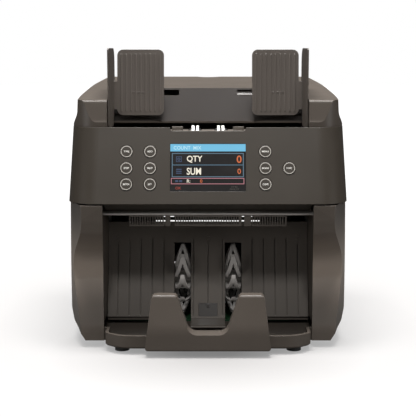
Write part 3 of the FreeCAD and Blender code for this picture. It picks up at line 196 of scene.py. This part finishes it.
def metal(name, colour, rough, stretch, blotch=0.08):
    """Machined or plated metal, with tool marks drawn out along one axis."""
    finish = Finish(name, rough, Metallic=1.0)
    marks = finish.noise(0.35 * MM, 3.0, stretch)
    cloud = finish.noise(14 * MM, 4.0)
    edges, rounded = finish.worn_and_sheened_edges(0.3 * MM)
    body = finish.tint(cloud, colour, blotch)
    # brighter edges: partly worn metal, partly a painted glint
    bright = [min(1, c * 1.25) for c in colour]
    finish.join(finish.mix(edges, body, bright), finish.shader.inputs["Base Color"])
    finish.join(finish.between(marks, rough - 0.08, rough + 0.1), finish.shader.inputs["Roughness"])
    finish.bumped(marks, 0.006 * MM, rounded)
    return finish.material


def circuit_board(name, mask, copper):
    """Green solder mask over faint copper tracks, in darker and lighter patches."""
    finish = Finish(name, 0.35, Coat_Weight=0.3)
    cells = finish.node("ShaderNodeTexBrick", Vector=finish.place, Scale=160.0, Mortar_Size=0.03,
                        Color1=(*mask, 1), Color2=(*[c * 0.85 for c in mask], 1), Mortar=(*copper, 1))
    cloud = finish.noise(6 * MM, 3.0)
    colour = finish.mix(cloud, cells.outputs["Color"], [c * 0.7 for c in mask])
    finish.join(colour, finish.shader.inputs["Base Color"])
    finish.join(finish.between(cloud, 0.28, 0.45), finish.shader.inputs["Roughness"])
    finish.bumped(cells.outputs["Fac"], 0.03 * MM)
    return finish.material


def lit(name, colour, strength, ripple=0.04):
    """Screen picture: light from behind glossy glass, a little uneven as a backlight is."""
    finish = Finish(name, 0.2)
    glow = finish.noise(20 * MM, 2.0)
    shade = finish.tint(glow, colour, ripple)
    finish.join([0.02, 0.02, 0.02, 1], finish.shader.inputs["Base Color"])
    finish.join(shade, finish.shader.inputs["Emission Color"])
    finish.join(strength, finish.shader.inputs["Emission Strength"])
    finish.bumped(glow, 0.001 * MM)
    return finish.material


def ink(name, colour):
    """Pad-printed ink, thin in places."""
    finish = Finish(name, 0.55)
    patch = finish.noise(0.9 * MM, 3.0)
    finish.join(finish.tint(patch, colour, 0.12), finish.shader.inputs["Base Color"])
    finish.bumped(patch, 0.01 * MM)
    return finish.material


def finishes():
    """One finish for each of the record's material slots."""
    return {
        "case_plastic": moulded("case_plastic", CASE_COLOUR, 0.42, Specular_IOR_Level=0.25),
        "panel_plastic": moulded("panel_plastic", PANEL_COLOUR, 0.42, depth=0.012 * MM,
                                 Specular_IOR_Level=0.3),
        "pocket_plastic": moulded("pocket_plastic", (0.105, 0.090, 0.076), 0.42),
        "guide_plastic": moulded("guide_plastic", (0.070, 0.058, 0.049), 0.45),
        "inner_plastic": moulded("inner_plastic", (0.018, 0.017, 0.016), 0.55),
        "blade_plastic": moulded("blade_plastic", (0.47, 0.445, 0.42), 0.5, edge=0.3 * MM),
        "key_plastic": moulded("key_plastic", PANEL_COLOUR, 0.4, edge=0.3 * MM,
                               Specular_IOR_Level=0.3),
        "screen_glass": glossy_glass("screen_glass", (0.012, 0.011, 0.011)),
        "white_rubber": rubber("white_rubber", (0.78, 0.76, 0.72), 0.6),
        "black_rubber": rubber("black_rubber", (0.016, 0.015, 0.015), 0.7),
        "steel": metal("steel", (0.5, 0.48, 0.46), 0.42, (1, 12, 1)),
        "plated_sheet": metal("plated_sheet", (0.56, 0.57, 0.58), 0.42, (1, 6, 1), 0.16),
        "motor_can": metal("motor_can", (0.3, 0.3, 0.31), 0.4, (1, 14, 1)),
        "circuit_board": circuit_board("circuit_board", (0.008, 0.05, 0.02), (0.03, 0.1, 0.035)),
    }


def finish_nodes():
    made = finishes()
    for name, node in NODES.items():
        node.data.materials.clear()
        node.data.materials.append(made[SLOTS[name]])
    smooth_hopper()
    painted_light_scoops()
    smoky_window()


def second_finish(names, finish, chosen):
    """Give a second finish to those faces of some pieces that chosen picks."""
    for name in names:
        mesh = NODES[name].data
        mesh.materials.append(finish)
        for polygon in mesh.polygons:
            if chosen(polygon):
                polygon.material_index = 1


def smooth_hopper():
    """The backrest inside the hopper is drawn darker, smoother and duller than the hood round it."""
    satin = moulded("backrest_plastic", (0.0225, 0.0187, 0.0165), 0.72, depth=0.006 * MM,
                    Specular_IOR_Level=0.15)

    def backrest(polygon):
        leans = 0.5 < polygon.normal.z < 0.75 and polygon.normal.y < -0.6
        return leans and abs(polygon.center.x) < HOPPER_HALF

    second_finish(["top_cover"], satin, backrest)


def painted_light_scoops():
    """Painted light on the hollow in the front of each cheek: palest at its middle height, with painted shade
    below it.
    """
    painted_light_cheek = moulded("cheek_painted_light", CASE_COLOUR, 0.38, painted_light_by_height=True, Specular_IOR_Level=0.25)

    def painted_light_face(polygon):
        return polygon.normal.y < -0.3 and polygon.center.z < SCOOP_PAINTED_LIGHT_MIDDLE + SCOOP_PAINTED_LIGHT_REACH

    second_finish(["left_side_cover", "right_side_cover"], painted_light_cheek, painted_light_face)


def smoky_window():
    """The stack sensor looks out through a window that is greyer than the screen's black glass."""
    smoke = moulded("smoky_window", (0.075, 0.070, 0.066), 0.3, depth=0.002 * MM)
    second_finish(["stack_sensor"], smoke, lambda polygon: True)


# ---------------------------------------------------------------- flat artwork
class Surface:
    """The largest flat, forward-looking face of a CAD piece, as a place to draw on."""

    def __init__(self, node):
        mesh = NODES[node].data
        facets = {}
        for polygon in mesh.polygons:
            if polygon.normal.y > -0.5:
                continue
            offset = polygon.normal.dot(polygon.center)
            key = (*[round(c, 2) for c in polygon.normal], round(offset, 5))
            facets.setdefault(key, []).append(polygon)
        best = max(facets.values(), key=lambda group: sum(p.area for p in group))
        self.out = sum((p.normal * p.area for p in best), Vector()).normalized()
        self.across = Vector((1, 0, 0))
        self.up = self.out.cross(self.across).normalized()
        corners = [mesh.vertices[i].co for p in best for i in p.vertices]
        wide = [c.dot(self.across) for c in corners]
        tall = [c.dot(self.up) for c in corners]
        self.half_wide = (max(wide) - min(wide)) / 2
        self.half_tall = (max(tall) - min(tall)) / 2
        self.middle = (self.across * (max(wide) + min(wide)) / 2 + self.up * (max(tall) + min(tall)) / 2
                       + self.out * best[0].center.dot(self.out))

    def matrix(self, x, y, lift):
        """Turns a drawing in the XY plane to lie on the face, moved by x, y and raised by lift."""
        place = self.middle + self.across * x + self.up * y + self.out * lift
        turned = Matrix((self.across, self.up, self.out)).transposed().to_4x4()
        return Matrix.Translation(place) @ turned


def bar(x0, x1, y0, y1):
    """Corners of a rectangle."""
    return [(x0, y0), (x1, y0), (x1, y1), (x0, y1)]


def ring(outer, inner, steps=48):
    """Outer and inner circle of a ring."""
    turns = [2 * math.pi * step / steps for step in range(steps)]
    return [[(r * math.cos(t), r * math.sin(t)) for t in turns] for r in (outer, inner)]


def plate(sheet, outline, thick, at=(0, 0)):
    """Add a thin plate to a bmesh: an outline, or a pair of outlines with a hole between them."""
    loops = outline if isinstance(outline[0], list) else [outline]
    rings = []
    for loop in loops:
        low = [sheet.verts.new((x + at[0], y + at[1], 0)) for x, y in loop]
        high = [sheet.verts.new((x + at[0], y + at[1], thick)) for x, y in loop]
        rings.append((low, high))
    count = len(loops[0])
    for turn, (low, high) in enumerate(rings):
        for i in range(count):
            j = (i + 1) % count
            side = [low[i], low[j], high[j], high[i]]
            sheet.faces.new(side if turn == 0 else side[::-1])
    if len(rings) == 1:
        low, high = rings[0]
        sheet.faces.new(high)
        sheet.faces.new(low[::-1])
        return
    (low_out, high_out), (low_in, high_in) = rings
    for i in range(count):
        j = (i + 1) % count
        sheet.faces.new([high_out[i], high_out[j], high_in[j], high_in[i]])
        sheet.faces.new([low_out[j], low_out[i], low_in[i], low_in[j]])


def border(sheet, x0, x1, y0, y1, line, thick):
    """Rectangular outline drawn with a line of that width."""
    outer = bar(x0, x1, y0, y1)
    inner = bar(x0 + line, x1 - line, y0 + line, y1 - line)
    plate(sheet, [outer, inner], thick)


def letters(sheet, text, x, y, height, thick, weight=0.0, side="CENTER", narrow=1.0):
    """Add words to a bmesh, with capitals of the given height, their middle line at y."""
    curve = bpy.data.curves.new("words", "FONT")
    curve.body = text
    curve.align_x = side
    curve.size = 1.0
    curve.offset = weight
    curve.extrude = 0.01
    curve.resolution_u = 3
    holder = bpy.data.objects.new("words", curve)
    bpy.context.scene.collection.objects.link(holder)
    bpy.context.view_layer.update()
    mesh = bpy.data.meshes.new_from_object(holder.evaluated_get(bpy.context.evaluated_depsgraph_get()))
    bpy.data.objects.remove(holder)
    tall = [v.co.y for v in mesh.vertices]
    scale = height / (max(tall) - min(tall))
    middle = (max(tall) + min(tall)) / 2
    for vertex in mesh.vertices:
        vertex.co = (x + vertex.co.x * scale * narrow, y + (vertex.co.y - middle) * scale,
                     thick * (1 if vertex.co.z > 0 else 0))
    sheet.from_mesh(mesh)


def drawn(name, sheet, surface, finish, body, lift=0.0, x=0.0, y=0.0):
    """Turn a bmesh of plates into a piece that lies on a surface and rides on a body."""
    mesh = bpy.data.meshes.new(name)
    bmesh.ops.recalc_face_normals(sheet, faces=sheet.faces)
    sheet.to_mesh(mesh)
    sheet.free()
    piece = bpy.data.objects.new(name, mesh)
    mesh.transform(surface.matrix(x, y, lift))
    mesh.materials.append(finish)
    bpy.context.scene.collection.objects.link(piece)
    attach(piece, body)
    return piece


def screen():
    """The lit picture on the display: a header band, two outlined rows, a narrow row and small marks."""
    glass = Surface("display_lens")
    left, right = -glass.half_wide, glass.half_wide
    top, bottom = glass.half_tall, -glass.half_tall
    line = 0.8 * MM
    inset = 1.5 * MM
    rows = [top - depth * MM for depth in (8.8, 20.9, 33.2, 39.2)]

    header = bmesh.new()
    plate(header, bar(left, right, top - 7.2 * MM, top), FILM)
    drawn("screen_header", header, glass, lit("header_light", (0.155, 0.515, 0.76), 0.95), "root")

    title = bmesh.new()
    letters(title, "COUNT  MIX", left + 3 * MM, top - 3.7 * MM, 3.6 * MM, FILM, 0.01, "LEFT", 0.9)
    drawn("screen_title", title, glass, lit("title_light", (0.55, 0.86, 0.98), 0.9), "root", FILM)

    outline = bmesh.new()
    border(outline, left + inset, right - inset - line / 2, rows[1], rows[0], line, FILM)
    border(outline, left + inset, right - inset - line / 2, rows[2] + line, rows[1] + line, line, FILM)
    drawn("screen_rows", outline, glass, lit("row_light", (0.085, 0.155, 0.215), 1.0), "root")

    narrow = bmesh.new()
    border(narrow, left + inset / 2, right - inset, rows[3], rows[2], line * 0.8, FILM)
    drawn("screen_narrow_row", narrow, glass, lit("pink_light", (0.47, 0.19, 0.22), 1.0), "root")

    words = bmesh.new()
    middles = [(rows[0] + rows[1]) / 2, (rows[1] + rows[2]) / 2 + line / 2, (rows[2] + rows[3]) / 2]
    letters(words, "QTY", left + 15.6 * MM, middles[0], 6.9 * MM, FILM, 0.018, "LEFT", 0.92)
    letters(words, "SUM", left + 15.6 * MM, middles[1], 6.9 * MM, FILM, 0.018, "LEFT", 0.78)
    letters(words, "R:", left + 15.6 * MM, middles[2], 3.2 * MM, FILM, 0.01, "LEFT")
    drawn("screen_words", words, glass, lit("word_light", (0.9, 0.84, 0.7), 1.0), "root")

    digits = bmesh.new()
    letters(digits, "0", right - 6.3 * MM, middles[0], 7.4 * MM, FILM, 0.014)
    letters(digits, "0", right - 6.3 * MM, middles[1], 5.2 * MM, FILM, 0.01)
    letters(digits, "0", left + 29.6 * MM, middles[2], 3.4 * MM, FILM, 0.01)
    drawn("screen_digits", digits, glass, lit("digit_light", (0.62, 0.13, 0.03), 1.0), "root")

    icons = bmesh.new()
    icon = left + 8.2 * MM
    pitch = 1.9 * MM
    outside = bar(-2.7 * MM, 2.7 * MM, -2.7 * MM, 2.7 * MM)
    inside = bar(-2.1 * MM, 2.1 * MM, -2.1 * MM, 2.1 * MM)
    plate(icons, [outside, inside], FILM, (icon, middles[0]))
    plate(icons, ring(1.5 * MM, 0.7 * MM, 24), FILM, (icon, middles[0]))
    stripe = bar(-2.6 * MM, 2.6 * MM, -0.5 * MM, 0.5 * MM)
    for step in (-1, 0, 1):
        plate(icons, stripe, FILM, (icon, middles[1] + step * pitch))
    square = bar(-1.5 * MM, 1.3 * MM, -0.9 * MM, 0.9 * MM)
    for step in (-1, 1):
        plate(icons, square, FILM, (icon + step * pitch, middles[2]))
    drawn("screen_icons", icons, glass, lit("icon_light", (0.028, 0.055, 0.12), 1.0), "root")

    status = bmesh.new()
    letters(status, "OK", left + 7.6 * MM, bottom + 3.2 * MM, 2.6 * MM, FILM, 0.01)
    drawn("screen_status", status, glass, lit("status_light", (0.33, 0.04, 0.02), 1.0), "root")

    clock = bmesh.new()
    letters(clock, "0 0 : 0 0", right - 11 * MM, bottom + 4.3 * MM, 1.2 * MM, FILM)
    letters(clock, "0 0 0 0 - 0 0", right - 11 * MM, bottom + 2.2 * MM, 1.2 * MM, FILM)
    drawn("screen_clock", clock, glass, lit("clock_light", (0.11, 0.1, 0.085), 1.0), "root")


WORDS = {
    "key_currency": "TYPE", "key_step": "STEP", "key_batch": "BATCH", "key_add": "ADD", "key_print": "PRINT",
    "key_settings": "SET", "key_menu": "MENU", "key_mode": "MODE", "key_clear": "CLEAR", "key_start": "START",
}


def key_prints():
    """A ring and a plain word printed on each key cap."""
    pale = ink("key_ink", (0.30, 0.28, 0.25))
    white = ink("word_ink", (0.62, 0.6, 0.56))
    for key in KEYS:
        cap = Surface(key)
        edge = cap.half_wide - 0.15 * MM
        circle = bmesh.new()
        plate(circle, ring(edge, edge - 0.75 * MM), FILM)
        drawn(key + "_ring", circle, cap, pale, key)
        word = bmesh.new()
        letters(word, WORDS[key], 0, 0, 1.75 * MM, FILM, 0.02, narrow=1.0 if len(WORDS[key]) < 5 else 0.8)
        drawn(key + "_word", word, cap, white, key)


# ---------------------------------------------------------------- studio
FRONT_LAMP_ELEVATION = 50  # degrees above the floor
FRONT_LAMP_WIDTH = 7  # degrees across, which sets how soft its shadows are
FRONT_LAMP_POWER = 1.1
FLOOR_RADIUS = 7
MACHINE_MIDDLE = (0, -0.1, 0.15)  # where the overhead light is aimed
POCKET_MIDDLE = (0, -0.06, 0.1)  # where the side fills are aimed
FILL_ACROSS = 1.15
SEEN_WALL = 1.0  # strength of the wall that the camera sees
FILL_WALL = 0.14  # strength of the wall that lights the machine


def soft_light(name, place, aim, wide, tall, power):
    """A rectangular lamp of that size and power in watts, pointed at a place."""
    light = bpy.data.lights.new(name, "AREA")
    light.shape = "RECTANGLE"
    light.size = wide
    light.size_y = tall
    light.energy = power
    lamp = bpy.data.objects.new(name, light)
    lamp.location = place
    lamp.rotation_euler = (Vector(aim) - Vector(place)).to_track_quat("-Z", "Y").to_euler()
    bpy.context.scene.collection.objects.link(lamp)


def paper_floor():
    """Pale paper that is seen nearly white but throws little light back at the machine.

    Rays from the camera meet paper that glows a little, with painted shade near the machine and a painted
    shadow in front of it. All other rays meet a duller surface.
    """
    floor = bpy.data.meshes.new("floor")
    sheet = bmesh.new()
    bmesh.ops.create_circle(sheet, cap_ends=True, segments=96, radius=FLOOR_RADIUS)
    sheet.to_mesh(floor)
    sheet.free()
    paper = Finish("floor_paper", 0.9)
    fibre = paper.noise(3 * MM, 3.0)
    paper.join(paper.tint(fibre, (0.205, 0.198, 0.194), 0.01), paper.shader.inputs["Base Color"])
    paper.join(0.0, paper.shader.inputs["Specular IOR Level"])
    paper.bumped(fibre, 0.02 * MM)
    paper.join((1, 1, 1, 1), paper.shader.inputs["Emission Color"])
    # painted shade: the glow is dimmer near the machine, and a little brighter than white far from it
    away = paper.node("ShaderNodeVectorMath", {"operation": "LENGTH"})
    paper.join(paper.place, away.inputs[0])
    bright = paper.between(away.outputs["Value"], 0.5, 1.05, 0.22, 1.3)
    # a painted shadow of the machine, soft, reaching a little way in front of it
    stretch = paper.node("ShaderNodeMapping", Vector=paper.place, Location=(0, 0.1, 0), Scale=(0.8, 1, 0))
    near = paper.node("ShaderNodeVectorMath", {"operation": "LENGTH"})
    paper.join(stretch.outputs["Vector"], near.inputs[0])
    painted_shadow = paper.between(near.outputs["Value"], 0.29, 0, 0.02, 0.125)
    glow_with_painted_shadow = paper.node("ShaderNodeMath", {"operation": "SUBTRACT"})
    paper.join(bright, glow_with_painted_shadow.inputs[0])
    paper.join(painted_shadow, glow_with_painted_shadow.inputs[1])
    paper.join(glow_with_painted_shadow.outputs["Value"], paper.shader.inputs["Emission Strength"])
    dull = paper.node("ShaderNodeBsdfDiffuse", Color=(0.14, 0.136, 0.132, 1))
    path = paper.node("ShaderNodeLightPath")
    either = paper.node("ShaderNodeMixShader", Fac=path.outputs["Is Camera Ray"])
    paper.join(dull.outputs[0], either.inputs[1])
    paper.join(paper.shader.outputs[0], either.inputs[2])
    paper.join(either.outputs[0], paper.tree.nodes["Material Output"].inputs["Surface"])
    floor.materials.append(paper.material)
    ground = bpy.data.objects.new("floor", floor)
    bpy.context.scene.collection.objects.link(ground)


def surround():
    """A white wall to look at, and a dimmer one to be lit by."""
    world = bpy.data.worlds.new("surround")
    bpy.context.scene.world = world
    world.use_nodes = True
    tree = world.node_tree
    seen = tree.nodes.new("ShaderNodeBackground")
    seen.inputs["Color"].default_value = (1, 1, 1, 1)
    seen.inputs["Strength"].default_value = SEEN_WALL
    fill = tree.nodes["Background"]
    fill.inputs["Color"].default_value = (1.0, 0.985, 0.97, 1)
    fill.inputs["Strength"].default_value = FILL_WALL
    path = tree.nodes.new("ShaderNodeLightPath")
    either = tree.nodes.new("ShaderNodeMixShader")
    tree.links.new(path.outputs["Is Camera Ray"], either.inputs[0])
    tree.links.new(fill.outputs[0], either.inputs[1])
    tree.links.new(seen.outputs[0], either.inputs[2])
    tree.links.new(either.outputs[0], tree.nodes["World Output"].inputs["Surface"])


def studio():
    """Most light comes from straight above; a lamp stands high in front and a weak fill at each side."""
    paper_floor()
    surround()
    soft_light("overhead", (0.0, -0.12, 1.5), MACHINE_MIDDLE, 0.8, 0.5, 50)
    for side, across in (("left", -FILL_ACROSS), ("right", FILL_ACROSS)):
        soft_light(f"{side}_fill", (across, -0.75, 0.22), POCKET_MIDDLE, 0.3, 0.35, 3.2)
    lamp = bpy.data.lights.new("front_lamp", "SUN")
    lamp.energy = FRONT_LAMP_POWER
    lamp.angle = math.radians(FRONT_LAMP_WIDTH)
    holder = bpy.data.objects.new("front_lamp", lamp)
    holder.rotation_euler = (math.radians(90 - FRONT_LAMP_ELEVATION), 0, 0)
    bpy.context.scene.collection.objects.link(holder)
    bpy.context.scene.view_settings.view_transform = "Standard"


CAMERA_PLACE = (0, -1.09, 0.2903)
CAMERA_TILT = 8.65  # degrees below level
LENS_LENGTH = 92.03  # millimetres, on a sensor 36 wide


def camera():
    """In front of the machine, level with the top of its note guides, tilted down at its middle."""
    lens = bpy.data.cameras.new("camera")
    lens.sensor_width = 36
    lens.lens = LENS_LENGTH
    lens.clip_start = 0.05
    eye = bpy.data.objects.new("camera", lens)
    eye.location = CAMERA_PLACE
    eye.rotation_euler = (math.radians(90 - CAMERA_TILT), 0, 0)
    bpy.context.scene.collection.objects.link(eye)
    bpy.context.scene.camera = eye


def main():
    finish_nodes()
    screen()
    key_prints()
    studio()
    camera()


main()
